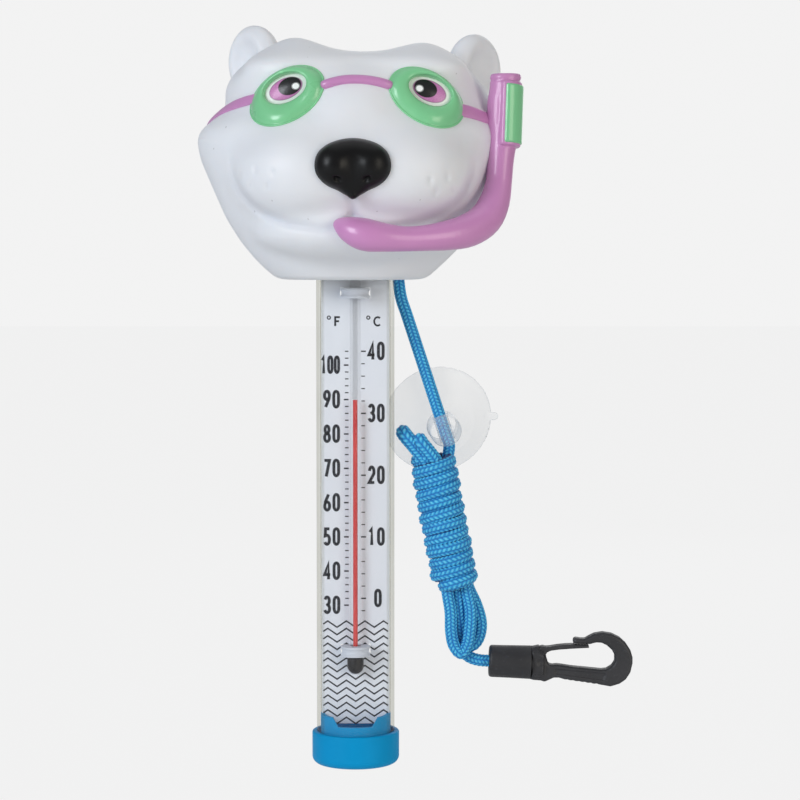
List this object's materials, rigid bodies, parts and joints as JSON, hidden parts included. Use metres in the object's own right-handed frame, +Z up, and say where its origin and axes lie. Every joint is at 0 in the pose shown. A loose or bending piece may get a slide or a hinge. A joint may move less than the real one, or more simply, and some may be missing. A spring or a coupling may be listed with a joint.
{
  "type": "floating pool thermometer",
  "caption": "Floating thermometer: bear-head float with goggles and snorkel over a clear scale tube, with a weighted cap, coiled tether, suction cup and snap hook.",
  "frame": {"origin": "on the clear tube's axis, in the plane of the bottom cap's underside", "axes": "+Z up along the tube, the bear's face looks along -Y, the snorkel and the tether are on the +X side"},
  "size_m": [0.1398, 0.0907, 0.2375],
  "materials": {
    "head_vinyl": "satin vinyl",
    "green_vinyl": "semi-gloss paint",
    "pink_vinyl": "semi-gloss paint",
    "eye_paint": "gloss paint",
    "nose_black": "gloss paint",
    "plug_plastic": "moulded",
    "clear_plastic": "clear",
    "card": "printed sheet",
    "glass": "clear",
    "spirit_dark": "liquid",
    "spirit_red": "liquid",
    "grommet_rubber": "moulded",
    "cap_blue": "semi-gloss",
    "cord_blue": "braided",
    "clear_pvc": "soft clear",
    "hook_black": "moulded",
    "crimp_metal": "rolled"
  },
  "bodies": {
    "float": {"head_shell": "head_vinyl", "goggle_left": "green_vinyl", "goggle_right": "green_vinyl", "goggle_bridge": "pink_vinyl", "goggle_strap": "pink_vinyl", "eye_left": "eye_paint", "eye_right": "eye_paint", "nose": "nose_black", "snorkel_tube": "pink_vinyl", "snorkel_float": "green_vinyl", "neck_plug": "plug_plastic", "clear_tube": "clear_plastic", "tube_top_plug": "plug_plastic", "scale_card": "card", "glass_stem": "glass", "bulb_spirit": "spirit_dark", "spirit_column": "spirit_red", "grommet_upper": "grommet_rubber", "grommet_lower": "grommet_rubber", "cord_knot": "cord_blue"},
    "spirit_top": {"spirit_meniscus": "spirit_red"},
    "cap": {"bottom_cap": "cap_blue"},
    "lead": {"cord_lead": "cord_blue"},
    "cup": {"suction_cup": "clear_pvc"},
    "hank": {"cord_hank": "cord_blue", "cord_wraps": "cord_blue"},
    "clip_end": {"cord_tail": "cord_blue", "hook_barrel": "hook_black", "cord_crimp": "crimp_metal"},
    "hook": {"hook_body": "hook_black"},
    "gate": {"hook_gate": "hook_black"}
  },
  "joints": [
    {"name": "spirit_rise", "type": "slide", "parent": "float", "child": "spirit_top", "axis": [0, 0, 1], "range_m": [-0.066, 0.0154], "deforming": ["spirit_column"]},
    {"name": "cap_pull", "type": "slide", "parent": "float", "child": "cap", "axis": [0, 0, -1], "range_m": [0, 0.03]},
    {"name": "tether_swing", "type": "hinge", "parent": "float", "child": "lead", "pos_m": [0.0134, 0.009, 0.1538], "axis": [0, 1, 0], "range_deg": [-50, 0]},
    {"name": "cup_slide", "type": "slide", "parent": "lead", "child": "cup", "axis": [-0.3102, -0.0571, 0.949], "range_m": [0, 0.018]},
    {"name": "hank_swing", "type": "hinge", "parent": "lead", "child": "hank", "pos_m": [0.03031, 0.01211, 0.10208], "axis": [0, 1, 0], "range_deg": [-20, 8]},
    {"name": "hook_swing", "type": "hinge", "parent": "hank", "child": "clip_end", "pos_m": [0.037, 0.009, 0.0326], "axis": [0, 1, 0], "range_deg": [0, 80]},
    {"name": "hook_turn", "type": "hinge", "parent": "clip_end", "child": "hook", "pos_m": [0.04325, 0.009, 0.0315], "axis": [0.9994, 0, -0.0349], "range_deg": [-90, 90]},
    {"name": "gate_open", "type": "hinge", "parent": "hook", "child": "gate", "pos_m": [0.06078, 0.009, 0.03499], "axis": [0, 1, 0], "range_deg": [0, 21], "stiffness_Nm_per_rad": 0.05}
  ]
}
